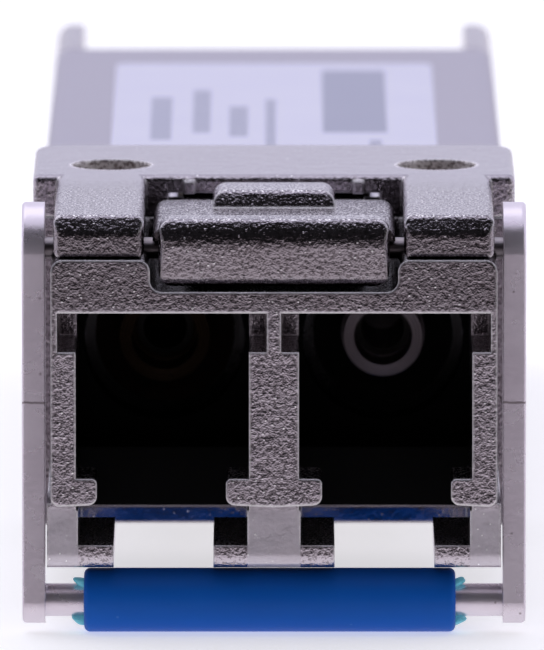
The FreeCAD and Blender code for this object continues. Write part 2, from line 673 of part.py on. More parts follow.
def flex(side):
    """Flexible circuit from the back of a can down to the board."""
    sheet = 0.12
    x = side * PORT_X
    start = CAN_REAR + 0.12 + GAP
    low = BOARD_TOP + 0.01
    corners = [
        (start, 3.4), (start + sheet, 3.4), (start + sheet, low, 0.25), (13.6, low),
        (13.6, low + sheet), (start, low + sheet, 0.37),
    ]
    return prism_x(corners, x - 1.5, x + 1.5)


# --- board -------------------------------------------------------------------------------
def pcb():
    """Circuit board with the narrower card edge at the rear."""
    wide = round_rect(-BOARD_HALF, BOARD_HALF, BOARD_FRONT, NECK_FRONT, 0.3, 0.5)
    neck = round_rect(-NECK_HALF, NECK_HALF, NECK_FRONT - 1, BOARD_REAR, 0, 0.3)
    board = prism_z(wide, BOARD_BOTTOM, BOARD_TOP).fuse(prism_z(neck, BOARD_BOTTOM, BOARD_TOP))
    return board.removeSplitter()


def edge_contacts():
    """Gold contact pads on both faces of the card edge, the outer ones reaching furthest."""
    foil = 0.035
    pads = []
    for index in range(CONTACTS_PER_SIDE):
        x = (index - (CONTACTS_PER_SIDE - 1) / 2) * CONTACT_PITCH
        reach = 0.5 if index in (0, CONTACTS_PER_SIDE - 1) else 0.9
        for bottom in (BOARD_TOP, BOARD_BOTTOM - foil):
            pads.append(block(x - 0.28, x + 0.28, 35.4, BOARD_REAR - reach, bottom, bottom + foil))
    return Part.makeCompound(pads)


def chip(x, y, half, height, top_side=True):
    """Square chip package seated on one face of the board."""
    z0 = BOARD_TOP if top_side else BOARD_BOTTOM - height
    return block(x - half, x + half, y - half, y + half, z0, z0 + height)


def smd_passives():
    """Small chip capacitors and resistors beside the chips on both faces."""
    pieces = []
    for column in range(4):
        for row in range(5):
            x = -4.2 + 2.8 * column
            y = 22.0 + 2.1 * row
            pieces.append(block(x - 0.5, x + 0.5, y - 0.25, y + 0.25, BOARD_TOP, BOARD_TOP + 0.45))
            if row < 3:
                pieces.append(block(x - 0.5, x + 0.5, y - 0.25, y + 0.25, BOARD_BOTTOM - 0.45, BOARD_BOTTOM))
    return Part.makeCompound(pieces)


def thermal_pad():
    """Soft gap pad between the laser driver and the cover."""
    air = 0.01
    return block(1.3, 3.9, 16.0, 18.6, BOARD_TOP + DRIVER_HEIGHT + air, BODY_TOP - COVER_PLATE - air)


# --- shielding collar --------------------------------------------------------------------
def bowed_strip(surface, outward, along, middle):
    """One spring finger: a bowed strip that stands off the surface between the two bands."""
    first = COLLAR_FRONT + COLLAR_BAND - 0.1
    last = COLLAR_REAR - COLLAR_BAND + 0.1
    centre = (first + last) / 2
    edges = []
    outer = [outward * surface + AXIS_Y * first,
             outward * (surface + FINGER_BULGE) + AXIS_Y * centre,
             outward * surface + AXIS_Y * last]
    inner = [point - outward * COLLAR_SHEET for point in outer]
    edges.append(Part.Arc(*outer).toShape())
    edges.append(Part.makeLine(outer[2], inner[2]))
    edges.append(Part.Arc(*inner[::-1]).toShape())
    edges.append(Part.makeLine(inner[0], outer[0]))
    strip = Part.Face(Part.Wire(edges)).extrude(along * FINGER_WIDTH)
    strip.translate(along * (middle - FINGER_WIDTH / 2))
    return strip


def emi_collar():
    """Sheet collar behind the flange: two bands joined by bowed spring fingers on all four sides."""
    side = BODY_HALF - GAP
    low = GAP
    high = BODY_TOP - GAP
    sheet = COLLAR_SHEET
    outer = block(-side, side, COLLAR_FRONT, COLLAR_REAR, low, high)
    inner = block(-side + sheet, side - sheet, COLLAR_FRONT - 1, COLLAR_REAR + 1, low + sheet, high - sheet)
    middle = block(-9, 9, COLLAR_FRONT + COLLAR_BAND, COLLAR_REAR - COLLAR_BAND, -1, 10)
    bands = outer.cut(inner.fuse(middle))
    fingers = []
    for z in (1.45, 3.5, 5.55):
        fingers.append(bowed_strip(side, AXIS_X, AXIS_Z, z))
        fingers.append(bowed_strip(side, -AXIS_X, AXIS_Z, z))
    for x in (-4.2, -2.1, 0, 2.1, 4.2):
        fingers.append(bowed_strip(-low, -AXIS_Z, AXIS_X, x))
    for x in (-4.6, 4.6):
        fingers.append(bowed_strip(high, AXIS_Z, AXIS_X, x))
    window = block(-ARM_HALF - 0.3, ARM_HALF + 0.3, 0, TONGUE_REAR + 1, BODY_TOP - 1, BODY_TOP + 1)
    return bands.fuse(fingers).cut(window).removeSplitter()


# --- output ------------------------------------------------------------------------------
NODES = {
    "base_housing": base_housing,
    "latch_housing": latch_housing,
    "top_cover": top_cover,
    "label": label,
    "housing_screws": housing_screws,
    "latch_lever": latch_lever,
    "lever_pin": lever_pin,
    "lever_spring": lever_spring,
    "cam_pin": cam_pin,
    "bail_frame": bail_frame,
    "bail_sleeve": bail_sleeve,
    "lc_receptacle": lc_receptacle,
    "tosa_barrel": lambda: barrel(1, 1.155, 0.83),
    "tosa_sleeve": lambda: split_sleeve(1),
    "tosa_body": lambda: sub_assembly_can(1),
    "rosa_barrel": lambda: barrel(-1, 1.30, 0.95),
    "rosa_sleeve": lambda: split_sleeve(-1),
    "rosa_body": lambda: sub_assembly_can(-1),
    "osa_retainer": osa_retainer,
    "tosa_flex": lambda: flex(1),
    "rosa_flex": lambda: flex(-1),
    "pcb": pcb,
    "edge_contacts": edge_contacts,
    "laser_driver_chip": lambda: chip(2.6, 17.3, 1.5, DRIVER_HEIGHT),
    "amplifier_chip": lambda: chip(-2.6, 17.3, 1.5, DRIVER_HEIGHT),
    "controller_chip": lambda: chip(0, 29.8, 2.0, 0.9, False),
    "smd_passives": smd_passives,
    "thermal_pad": thermal_pad,
    "emi_collar": emi_collar,
}

os.makedirs("parts", exist_ok=True)
for name, make in NODES.items():
    solid = make()
    solid.exportStep(f"parts/{name}.step")
    print(name, len(solid.Solids), solid.isValid(), round(solid.Volume, 3))
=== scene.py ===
import math

import bmesh
import bpy
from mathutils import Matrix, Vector


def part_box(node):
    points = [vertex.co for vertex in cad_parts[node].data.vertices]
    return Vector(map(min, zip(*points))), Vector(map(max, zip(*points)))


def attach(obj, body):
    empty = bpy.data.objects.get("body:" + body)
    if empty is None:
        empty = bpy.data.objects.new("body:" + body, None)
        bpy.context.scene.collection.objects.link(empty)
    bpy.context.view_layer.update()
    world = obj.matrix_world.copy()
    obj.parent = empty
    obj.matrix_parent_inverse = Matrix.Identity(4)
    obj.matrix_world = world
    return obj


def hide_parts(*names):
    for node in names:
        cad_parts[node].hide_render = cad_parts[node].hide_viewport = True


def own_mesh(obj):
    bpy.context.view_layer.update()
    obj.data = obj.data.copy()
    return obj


# A pluggable optical transceiver module, seen from the port end.  Metres, in the CAD frame:
# +Y runs from the ports to the rear, +Z is up.  Sizes inside the materials are in millimetres.

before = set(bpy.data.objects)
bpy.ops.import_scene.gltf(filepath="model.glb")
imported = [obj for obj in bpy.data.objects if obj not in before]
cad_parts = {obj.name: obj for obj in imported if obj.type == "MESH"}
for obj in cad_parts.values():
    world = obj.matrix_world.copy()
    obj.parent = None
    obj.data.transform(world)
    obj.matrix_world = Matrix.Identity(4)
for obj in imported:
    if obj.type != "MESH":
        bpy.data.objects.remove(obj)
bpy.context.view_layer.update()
MM = 0.001

# --- places, all worked out from the frame -----------------------------------------------
BASE_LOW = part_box("base_housing")[0]
FLANGE_LOW, FLANGE_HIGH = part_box("latch_housing")
SLEEVE_LOW, SLEEVE_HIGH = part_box("bail_sleeve")
LABEL_LOW, LABEL_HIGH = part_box("label")
SCREW_LOW, SCREW_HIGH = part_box("housing_screws")
BOARD_LOW, BOARD_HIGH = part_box("pcb")
SPRING_LOW, SPRING_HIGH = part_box("lever_spring")
FRONT_Y = BASE_LOW[1]
FLANGE_FRONT_Y = FRONT_Y + 9.0 * MM
PARTING_Z = FLANGE_LOW[2]
PORT_AXIS_Z = sum(corner[2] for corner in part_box("tosa_barrel")) / 2
PORT_X = sum(corner[0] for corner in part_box("tosa_barrel")) / 2
CHANNEL_REAR = (FRONT_Y / MM + 5.5, FRONT_Y / MM + 6.5)     # where the latch channels end, in mm


# --- node graph helper -------------------------------------------------------------------
class Graph:
    """A material's or the world's node tree, with short calls for the nodes used here."""

    def __init__(self, tree):
        self.tree = tree
        self.coords = None

    def node(self, kind, **settings):
        made = self.tree.nodes.new(kind)
        for key, value in settings.items():
            setattr(made, key, value)
        return made

    def feed(self, target, value):
        """Link a socket, or set a plain value, on an input."""
        if isinstance(value, bpy.types.NodeSocket):
            self.tree.links.new(value, target)
        else:
            target.default_value = value

    def position(self):
        """The point in the row frame, in millimetres."""
        if self.coords is None:
            coords = self.node("ShaderNodeTexCoord")
            scaled = self.node("ShaderNodeVectorMath", operation="SCALE")
            self.feed(scaled.inputs[0], coords.outputs["Object"])
            scaled.inputs["Scale"].default_value = 1 / MM
            self.coords = scaled.outputs[0]
        return self.coords

    def stretched(self, factors):
        """The point in millimetres, scaled by a factor for each direction."""
        made = self.node("ShaderNodeVectorMath", operation="MULTIPLY")
        self.feed(made.inputs[0], self.position())
        made.inputs[1].default_value = factors
        return made.outputs[0]

    def axis(self, name):
        made = self.node("ShaderNodeSeparateXYZ")
        self.feed(made.inputs[0], self.position())
        return made.outputs[name]

    def noise(self, size_mm, detail=2.0, rough=0.5, distortion=0.0, factors=(1, 1, 1), seed=0.0):
        """Smooth noise from 0 to 1 whose features are about size_mm across."""
        made = self.node("ShaderNodeTexNoise", noise_dimensions="4D")
        self.feed(made.inputs["Vector"], self.stretched(factors))
        made.inputs["Scale"].default_value = 1 / size_mm
        made.inputs["Detail"].default_value = detail
        made.inputs["Roughness"].default_value = rough
        made.inputs["Distortion"].default_value = distortion
        made.inputs["W"].default_value = seed
        return made.outputs["Fac"]

    def cells(self, size_mm, seed_shift=0.0):
        """Distance from scattered points, for pits and specks."""
        made = self.node("ShaderNodeTexVoronoi")
        shifted = self.node("ShaderNodeVectorMath", operation="ADD")
        self.feed(shifted.inputs[0], self.position())
        shifted.inputs[1].default_value = (seed_shift, seed_shift, seed_shift)
        self.feed(made.inputs["Vector"], shifted.outputs[0])
        made.inputs["Scale"].default_value = 1 / size_mm
        return made.outputs["Distance"]

    def maths(self, operation, first, second=0.0, clamp=False):
        made = self.node("ShaderNodeMath", operation=operation, use_clamp=clamp)
        self.feed(made.inputs[0], first)
        self.feed(made.inputs[1], second)
        return made.outputs[0]

    def span(self, value, low, high, to_low=0.0, to_high=1.0):
        """Map a range smoothly onto another and hold it at the ends."""
        made = self.node("ShaderNodeMapRange", interpolation_type="SMOOTHSTEP")
        self.feed(made.inputs["Value"], value)
        made.inputs["From Min"].default_value = low
        made.inputs["From Max"].default_value = high
        made.inputs["To Min"].default_value = to_low
        made.inputs["To Max"].default_value = to_high
        return made.outputs["Result"]

    def below(self, value, low, high):
        """1 up to low, falling to 0 at high."""
        return self.span(value, low, high, 1.0, 0.0)

    def blend(self, factor, first, second):
        """Mix two colours."""
        made = self.node("ShaderNodeMix", data_type="RGBA")
        colour_a, colour_b, colour_result = made.inputs[6], made.inputs[7], made.outputs[2]
        self.feed(made.inputs["Factor"], factor)
        for socket, value in ((colour_a, first), (colour_b, second)):
            self.feed(socket, value if isinstance(value, bpy.types.NodeSocket) else (*value, 1))
        return colour_result

    def ramp(self, value, stops):
        made = self.node("ShaderNodeValToRGB")
        self.feed(made.inputs["Fac"], value)
        elements = made.color_ramp.elements
        while len(elements) < len(stops):
            elements.new(0.5)
        for element, (place, colour) in zip(elements, stops):
            element.position = place
            element.color = (*colour, 1)
        return made.outputs["Color"]

    def inside(self, axis, low, high, soft):
        """1 between two places along an axis, in millimetres, with soft edges."""
        rising = self.span(self.axis(axis), low - soft, low + soft)
        falling = self.below(self.axis(axis), high - soft, high + soft)
        return self.maths("MULTIPLY", rising, falling)

    def bevelled(self, radius_mm):
        made = self.node("ShaderNodeBevel", samples=6)
        made.inputs["Radius"].default_value = radius_mm * MM
        return made.outputs["Normal"]

    def edge_mask(self, rounded):
        """1 where a rounded normal has turned away from the face, so along sharp edges."""
        face = self.node("ShaderNodeNewGeometry")
        made = self.node("ShaderNodeVectorMath", operation="DOT_PRODUCT")
        self.feed(made.inputs[0], rounded)
        self.feed(made.inputs[1], face.outputs["Normal"])
        return self.below(made.outputs["Value"], 0.86, 0.985)

    def crevices(self, reach_mm, low, high):
        """1 deep in gaps and corners, 0 on open faces."""
        made = self.node("ShaderNodeAmbientOcclusion", samples=4)
        made.inputs["Distance"].default_value = reach_mm * MM
        return self.below(made.outputs["AO"], low, high)

    def facing_up(self, low, high):
        """1 on faces whose normal points up, 0 on upright ones."""
        face = self.node("ShaderNodeNewGeometry")
        made = self.node("ShaderNodeSeparateXYZ")
        self.feed(made.inputs[0], face.outputs["Normal"])
        return self.span(made.outputs["Z"], low, high)

    def length(self, first, second):
        """Length of a vector from two of its parts."""
        squares = [self.maths("MULTIPLY", part, part) for part in (first, second)]
        return self.maths("SQRT", self.maths("ADD", *squares))

    def bump(self, height, depth_mm, normal=None):
        """Surface normal roughened by a height from 0 to 1, depth_mm deep."""
        made = self.node("ShaderNodeBump")
        self.feed(made.inputs["Height"], height)
        made.inputs["Distance"].default_value = depth_mm * MM
        made.inputs["Strength"].default_value = 1.0
        if normal is not None:
            self.feed(made.inputs["Normal"], normal)
        return made.outputs["Normal"]


def new_material(name):
    """Empty principled material, its graph and its shader."""
    made = bpy.data.materials.new(name)
    made.use_nodes = True
    graph = Graph(made.node_tree)
    shader = made.node_tree.nodes["Principled BSDF"]
    return made, graph, shader


def set_inputs(graph, shader, **values):
    for key, value in values.items():
        name = key.replace("_", " ")
        if isinstance(value, tuple) and len(value) == 3:
            value = (*value, 1)
        graph.feed(shader.inputs[name], value)


# --- materials ---------------------------------------------------------------------------
def cast_nickel():
    """Plated die casting: leathery grain and specks, smooth below the feet; its colour holds painted
    highlights at edges, specks, near tops and screw rims, and painted shade on tops, upper fronts, channel
    ends and in gaps.
    """
    made, g, shader = new_material("cast_nickel")
    dark_plate, light_plate = (0.60, 0.545, 0.585), (0.72, 0.675, 0.73)
    top_painted_shade, near_top_painted_shade = (0.10, 0.10, 0.14), (0.08, 0.07, 0.08)
    upper_front_painted_shade, trough_tint = (0.06, 0.035, 0.03), (0.08, 0.06, 0.06)
    channel_painted_shade, gap_painted_shade, highlight_white = (0.04, 0.05, 0.07), (0.05, 0.030, 0.028), (1.0, 0.98, 0.98)
    recess_dark, recess_light = (0.26, 0.21, 0.19), (1.0, 0.97, 0.93)
    over_ports = PORT_AXIS_Z / MM + 2.2
    rounded = g.bevelled(0.13)
    # Mask along edges, which carries painted highlights.
    edge_highlight = g.edge_mask(rounded)

    # Grain, scattered specks and broad undulation, quiet on the smooth areas.
    up = g.facing_up(0.55, 0.9)
    far = g.span(g.axis("Y"), FRONT_Y / MM + 5.0, FRONT_Y / MM + 9.0)
    far_top = g.maths("MULTIPLY", up, far)
    near_top = g.maths("SUBTRACT", up, far_top)
    ripple = g.noise(0.105, detail=2.0, rough=0.6, distortion=0.2)
    coarse = g.noise(0.6, detail=2.0, seed=3.0)
    specks = g.below(g.cells(0.22, 1.0), 0.05, 0.20)
    calm = casting_calm_mask(g)
    channel_end = channel_end_mask(g)
    recess, rim = screw_recess_masks(g)
    quiet = g.maths("MAXIMUM", g.maths("MULTIPLY", calm, 0.85), g.maths("MULTIPLY", far_top, 0.75))
    active = g.maths("SUBTRACT", 1.0, g.maths("MULTIPLY", quiet, g.maths("SUBTRACT", 1.0, recess)))
    fine = g.maths("MULTIPLY", g.maths("ADD", ripple, g.maths("MULTIPLY", specks, 0.3)), active)
    height = g.maths("ADD", fine, g.maths("MULTIPLY", coarse, 0.7))

    # Colour: painted shade by direction and place, darker in the troughs, painted highlights at edges and
    # specks.
    tone = g.noise(1.7, detail=3.0, seed=7.0)
    colour = g.blend(tone, dark_plate, light_plate)
    # Painted shade: faces pointing up are darkened, and those near the front darker still.
    colour = g.blend(g.maths("MULTIPLY", up, 0.50), colour, top_painted_shade)
    colour = g.blend(g.maths("MULTIPLY", near_top, 0.35), colour, near_top_painted_shade)
    # Painted shade on the upright faces above the ports, near the front.
    upright = g.maths("SUBTRACT", 1.0, g.facing_up(0.2, 0.5))
    upper_front = g.maths("MULTIPLY", g.span(g.axis("Z"), over_ports, over_ports + 0.5), upright)
    upper_front = g.maths("MULTIPLY", upper_front, g.maths("SUBTRACT", 1.0, far))
    colour = g.blend(g.maths("MULTIPLY", upper_front, 0.38), colour, upper_front_painted_shade)
    troughs = g.maths("MULTIPLY", g.span(ripple, 0.36, 0.52, 0.50, 0.0), active)
    colour = g.blend(troughs, colour, trough_tint)
    # Painted shade on the low back faces of the latch channels, tinted blue as a painted reflection of the
    # grip.
    colour = g.blend(g.maths("MULTIPLY", channel_end, 0.5), colour, channel_painted_shade)
    # Painted highlights, nearly white: glints on tops near the front, bright edges, sparkling specks and the
    # screw recesses' rims.
    painted_glints = g.maths("MULTIPLY", g.span(g.noise(0.075, detail=1.0, seed=9.0), 0.52, 0.62), near_top)
    painted_highlights = g.maths("MAXIMUM", edge_highlight, g.maths("MULTIPLY", specks, g.span(tone, 0.42, 0.55)))
    painted_highlights = g.maths("MAXIMUM", g.maths("MAXIMUM", painted_highlights, painted_glints), rim)
    colour = g.blend(g.maths("MULTIPLY", painted_highlights, 0.9), colour, highlight_white)
    # Painted shade deep in gaps and corners, and on the flange's face behind the bail's arms.
    gaps = g.maths("MULTIPLY", g.crevices(1.6, 0.15, 0.60), g.maths("SUBTRACT", 1.0, recess))
    gaps = g.maths("MAXIMUM", gaps, g.maths("MULTIPLY", painted_shade_behind_arms_mask(g), 0.8))
    colour = g.blend(g.maths("MULTIPLY", gaps, 0.85), colour, gap_painted_shade)
    mottle = g.blend(g.span(ripple, 0.42, 0.52), recess_dark, recess_light)
    colour = g.blend(g.maths("MULTIPLY", recess, 0.85), colour, mottle)

    roughness = g.maths("ADD", g.span(tone, 0.3, 0.7, 0.10, 0.16), g.maths("MULTIPLY", painted_highlights, 0.18))
    roughness = g.maths("ADD", roughness, g.maths("MULTIPLY", recess, 0.3))
    columns = g.maths("SUBTRACT", calm, channel_end, clamp=True)
    metal = g.maths("SUBTRACT", 1.0, g.maths("MULTIPLY", columns, 0.5))
    normal = g.bump(height, 0.030, rounded)
    set_inputs(g, shader, Base_Color=colour, Metallic=metal, Roughness=roughness, Normal=normal)
    return made


def casting_calm_mask(g):
    """1 on the smooth column faces below the feet, at the nose's front, and at the channels' ends."""
    feet_bottom = (1.6, 1.95)
    lip_inner, lip_outer, lip_top = (0.72, 0.78), (5.46, 5.52), (0.66, 0.72)
    belly_side = (6.32, 6.35)
    across = g.maths("ABSOLUTE", g.axis("X"))
    over_lips = g.maths("MULTIPLY", g.span(across, *lip_inner), g.below(across, *lip_outer))
    lips = g.maths("MULTIPLY", over_lips, g.below(g.axis("Z"), *lip_top))
    columns = g.maths("MULTIPLY", g.below(g.axis("Z"), *feet_bottom), g.maths("SUBTRACT", 1.0, lips))
    nose_front = g.maths("MULTIPLY", g.below(across, *belly_side), g.below(g.axis("Y"), *CHANNEL_REAR))
    return g.maths("MAXIMUM", g.maths("MULTIPLY", columns, nose_front), channel_end_mask(g))


def painted_shade_behind_arms_mask(g):
    """1 on the strips of the flange's front face behind the bail's arms and round its corners, where painted
    shade goes.
    """
    face = FLANGE_FRONT_Y / MM
    strip_inner, strip_top = (6.2, 6.3), (8.4, 8.9)
    across = g.maths("ABSOLUTE", g.axis("X"))
    on_face = g.span(g.axis("Y"), face - 0.02, face + 0.02)
    not_beyond = g.below(g.axis("Y"), face + 0.15, face + 0.2)
    strip = g.maths("MULTIPLY", g.span(across, *strip_inner), g.below(g.axis("Z"), *strip_top))
    return g.maths("MULTIPLY", g.maths("MULTIPLY", on_face, not_beyond), strip)


def channel_end_mask(g):
    """1 on the low upright faces at the back of the latch channels."""
    low_part = (1.0, 1.2)
    return g.maths("MULTIPLY", g.span(g.axis("Y"), *CHANNEL_REAR), g.below(g.axis("Z"), *low_part))


def screw_recess_masks(g):
    """1 on the walls of the two screw recesses, and 1 on their rims."""
    recess_r = 1.125
    head_r = 1.0
    rim_inner, rim_outer = recess_r + 0.010, recess_r + 0.10
    top = FLANGE_HIGH[2] / MM
    centre_x = SCREW_HIGH[0] / MM - head_r
    centre_y = (SCREW_LOW[1] + SCREW_HIGH[1]) / 2 / MM
    across = g.maths("SUBTRACT", g.maths("ABSOLUTE", g.axis("X")), centre_x)
    along = g.maths("SUBTRACT", g.axis("Y"), centre_y)
    distance = g.length(across, along)
    high_up = g.span(g.axis("Z"), top - 1.0, top - 0.95)
    wall = g.below(distance, rim_inner, rim_inner + 0.015)
    ring = g.below(distance, rim_outer - 0.03, rim_outer)
    rim = g.maths("SUBTRACT", ring, wall)
    return g.maths("MULTIPLY", wall, high_up), g.maths("MULTIPLY", rim, high_up)


def smooth_nickel(name, light, dark, grain_mm=0.006, low=0.22, high=0.36, mark_z=None, metal=1.0):
    """Smooth plated metal with faint handling marks, a few specks and, if asked, one scribed line.

    low and high are its least and greatest roughness, and mark_z is the line's height in mm."""
    made, g, shader = new_material(name)
    drift = g.noise(2.2, detail=4.0, rough=0.6)
    fine = g.noise(0.12, detail=2.0, seed=2.0)
    specks = g.below(g.cells(0.55, 4.0), 0.035, 0.10)
    colour = g.blend(g.span(drift, 0.3, 0.7), dark, light)
    colour = g.blend(g.maths("MULTIPLY", specks, 0.6), colour, (0.20, 0.15, 0.15))
    if mark_z is not None:
        wobble = g.maths("MULTIPLY", g.noise(0.3, seed=6.0), 0.12)
        from_mark = g.maths("ABSOLUTE", g.maths("SUBTRACT", g.maths("ADD", g.axis("Z"), wobble), mark_z))
        colour = g.blend(g.span(from_mark, 0.015, 0.05, 0.7, 0.0), colour, (0.16, 0.12, 0.12))
    height = g.maths("ADD", fine, g.maths("MULTIPLY", g.noise(0.9, seed=5.0), 1.5))
    normal = g.bump(height, grain_mm, g.bevelled(0.05))
    roughness = g.span(drift, 0.2, 0.8, low, high)
    set_inputs(g, shader, Base_Color=colour, Metallic=metal, Roughness=roughness, Normal=normal)
    return made


def turned_metal(name, centre_x, colour, dark, bright_radius, groove_mm=0.004):
    """Lathe-turned metal: fine rings about a port's axis, near black outside the mouth ring as painted
    shade.
    """
    made, g, shader = new_material(name)
    across = g.maths("SUBTRACT", g.axis("X"), centre_x / MM)
    up = g.maths("SUBTRACT", g.axis("Z"), PORT_AXIS_Z / MM)
    radius = g.length(across, up)
    radians_per_mm = 70.0
    rings = g.maths("SINE", g.maths("MULTIPLY", radius, radians_per_mm))
    tone = g.noise(0.5, detail=3.0)
    shade = tuple(0.62 * part for part in colour)
    # Beyond bright_radius the colour goes to dark, painted shade deep in the port.
    finish = g.blend(g.span(radius, bright_radius, bright_radius + 0.04), g.blend(tone, shade, colour), dark)
    set_inputs(g, shader, Base_Color=finish, Metallic=1.0,
               Roughness=g.span(tone, 0.2, 0.8, 0.25, 0.42),
               Normal=g.bump(rings, groove_mm, g.bevelled(0.04)))
    return made


def blue_plastic():
    """Satin moulded plastic with a slight cast-in ripple and dust."""
    made, g, shader = new_material("blue_grip")
    drift = g.noise(2.5, detail=3.0)
    colour = g.blend(drift, (0.002, 0.095, 0.46), (0.004, 0.13, 0.58))
    dust = g.below(g.cells(0.8, 2.0), 0.03, 0.07)
    colour = g.blend(g.maths("MULTIPLY", dust, 0.35), colour, (0.10, 0.25, 0.55))
    height = g.maths("ADD", g.noise(0.6, detail=2.0), g.maths("MULTIPLY", g.noise(0.09, seed=3.0), 0.25))
    set_inputs(g, shader, Base_Color=colour, Roughness=g.span(drift, 0.2, 0.8, 0.42, 0.55),
               Normal=g.bump(height, 0.008))
    shader.inputs["Specular IOR Level"].default_value = 0.18
    shader.inputs["Subsurface Weight"].default_value = 0.08
    shader.inputs["Subsurface Radius"].default_value = (0.2 * MM, 0.4 * MM, 0.9 * MM)
    return made


def teal_flash():
    """Thin translucent moulding flash."""
    made, g, shader = new_material("teal_flash")
    drift = g.noise(0.3, detail=2.0)
    set_inputs(g, shader, Base_Color=g.blend(drift, (0.10, 0.50, 0.62), (0.25, 0.66, 0.74)), Roughness=0.22,
               Normal=g.bump(drift, 0.004))
    shader.inputs["Transmission Weight"].default_value = 0.25
    # Emission: painted light, a glow standing in for light shining through the flash from behind.
    shader.inputs["Emission Color"].default_value = (0.14, 0.46, 0.56, 1)
    shader.inputs["Emission Strength"].default_value = 0.2
    return made


def moulded(name, light, dark, roughness, grain_mm=0.12, depth_mm=0.006, shine=0.5):
    """Matt moulded plastic or rubber with a fine spark-eroded grain."""
    made, g, shader = new_material(name)
    grain = g.noise(grain_mm, detail=3.0)
    set_inputs(g, shader, Base_Color=g.blend(g.noise(1.6, seed=4.0), dark, light),
               Roughness=g.span(grain, 0.2, 0.8, roughness - 0.08, roughness + 0.08),
               Normal=g.bump(grain, depth_mm, g.bevelled(0.04)))
    shader.inputs["Specular IOR Level"].default_value = shine
    return made


def label_stock():
    """Matt pale label with plain grey bars and one block, and no lettering."""
    made, g, shader = new_material("label_stock")
    fibre = g.noise(0.08, detail=3.0)
    paper = g.blend(g.noise(3.0), (0.80, 0.80, 0.96), (0.86, 0.86, 1.0))
    front = LABEL_LOW[1] / MM
    length = (LABEL_HIGH[1] - LABEL_LOW[1]) / MM
    # Each bar: centre and width across in mm, start and end as shares of the label's length.
    bars = [
        (-3.35, 0.62, 0.16, 0.62), (-2.15, 0.52, 0.24, 0.70), (-1.05, 0.55, 0.20, 0.52),
        (-0.10, 0.30, 0.10, 0.60), (3.00, 0.35, 0.05, 0.16), (0.80, 1.30, 0.06, 0.10),
    ]
    ink = 0.0
    for centre, width, start, end in bars:
        bar = g.maths("MULTIPLY", g.inside("X", centre - width / 2, centre + width / 2, 0.04),
                      g.inside("Y", front + start * length, front + end * length, 0.06))
        ink = g.maths("MAXIMUM", ink, bar)
    rows = g.span(g.maths("SINE", g.maths("MULTIPLY", g.axis("Y"), 9.0)), -0.3, 0.0)
    ink = g.maths("MULTIPLY", ink, g.maths("ADD", g.maths("MULTIPLY", rows, 0.55), 0.2))
    block = g.maths("MULTIPLY", g.inside("X", 1.45, 3.35, 0.04),
                    g.inside("Y", front + 0.24 * length, front + 0.92 * length, 0.06))
    ink = g.maths("MAXIMUM", ink, g.maths("MULTIPLY", block, 0.62))
    colour = g.blend(ink, paper, (0.22, 0.24, 0.36))
    # Emission: painted light, a faint glow that brightens the whole label.
    set_inputs(g, shader, Base_Color=colour, Roughness=0.55, Normal=g.bump(fibre, 0.004),
               Emission_Color=colour)
    shader.inputs["Emission Strength"].default_value = 0.08
    return made


def board_mask():
    """Green solder mask with traces showing through."""
    made, g, shader = new_material("board_mask")
    lanes = g.maths("SINE", g.maths("MULTIPLY", g.axis("X"), 7.85))
    bend = g.noise(3.5, detail=0.0)
    traces = g.maths("MULTIPLY", g.span(lanes, 0.35, 0.6), g.span(bend, 0.45, 0.5))
    colour = g.blend(traces, (0.012, 0.10, 0.040), (0.03, 0.20, 0.075))
    edge = g.maths("MULTIPLY", g.span(g.axis("Z"), BOARD_LOW[2] / MM + 0.03, BOARD_LOW[2] / MM + 0.06),
                   g.below(g.axis("Z"), BOARD_HIGH[2] / MM - 0.06, BOARD_HIGH[2] / MM - 0.03))
    weave = g.noise(0.14, detail=2.0, factors=(1, 1, 3))
    colour = g.blend(edge, colour, (0.42, 0.40, 0.20))
    height = g.maths("ADD", traces, g.maths("MULTIPLY", g.maths("MULTIPLY", weave, edge), 0.8))
    set_inputs(g, shader, Base_Color=colour, Roughness=0.34, Normal=g.bump(height, 0.02))
    return made


def gold():
    """Hard gold with faint wipe marks along the insertion direction."""
    made, g, shader = new_material("contact_gold")
    wipe = g.noise(0.12, detail=2.0, factors=(1, 0.06, 1))
    set_inputs(g, shader, Base_Color=g.blend(wipe, (0.86, 0.58, 0.20), (1.0, 0.76, 0.34)), Metallic=1.0,
               Roughness=g.span(wipe, 0.3, 0.7, 0.16, 0.34), Normal=g.bump(wipe, 0.004))
    return made


def flex_film():
    """Amber film over copper lanes."""
    made, g, shader = new_material("flex_film")
    lanes = g.span(g.maths("SINE", g.maths("MULTIPLY", g.axis("X"), 12.5)), -0.1, 0.1)
    set_inputs(g, shader, Base_Color=g.blend(lanes, (0.30, 0.12, 0.02), (0.62, 0.30, 0.08)), Roughness=0.3,
               Normal=g.bump(lanes, 0.02))
    return made


def chip_components():
    """Ceramic bodies with tinned end caps, on a grid of columns across the board."""
    made, g, shader = new_material("chip_components")
    pitch = 2.8
    column = g.maths("FRACT", g.maths("DIVIDE", g.maths("ADD", g.axis("X"), 2 * pitch), pitch))
    from_middle = g.maths("ABSOLUTE", g.maths("SUBTRACT", column, 0.5))
    cap = g.span(from_middle, 0.105, 0.115)
    tone = g.noise(2.0)
    body = g.blend(g.span(tone, 0.45, 0.55), (0.30, 0.20, 0.12), (0.03, 0.03, 0.035))
    set_inputs(g, shader, Base_Color=g.blend(cap, body, (0.75, 0.75, 0.76)), Metallic=cap, Roughness=0.35,
               Normal=g.bump(g.noise(0.1), 0.01, g.bevelled(0.04)))
    return made


def ceramic(name, colour):
    """Polished ceramic, in colours darkened as painted shade deep in the ports."""
    made, g, shader = new_material(name)
    drift = g.noise(0.4, detail=3.0)
    darker = tuple(0.7 * part for part in colour)
    set_inputs(g, shader, Base_Color=g.blend(drift, darker, colour), Roughness=0.3,
               Normal=g.bump(drift, 0.002))
    shader.inputs["Specular IOR Level"].default_value = 0.12
    return made


def dress(material, *nodes):
    """Put a material on carried-over CAD nodes."""
    for name in nodes:
        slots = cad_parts[name].data.materials
        slots.clear()
        slots.append(material)


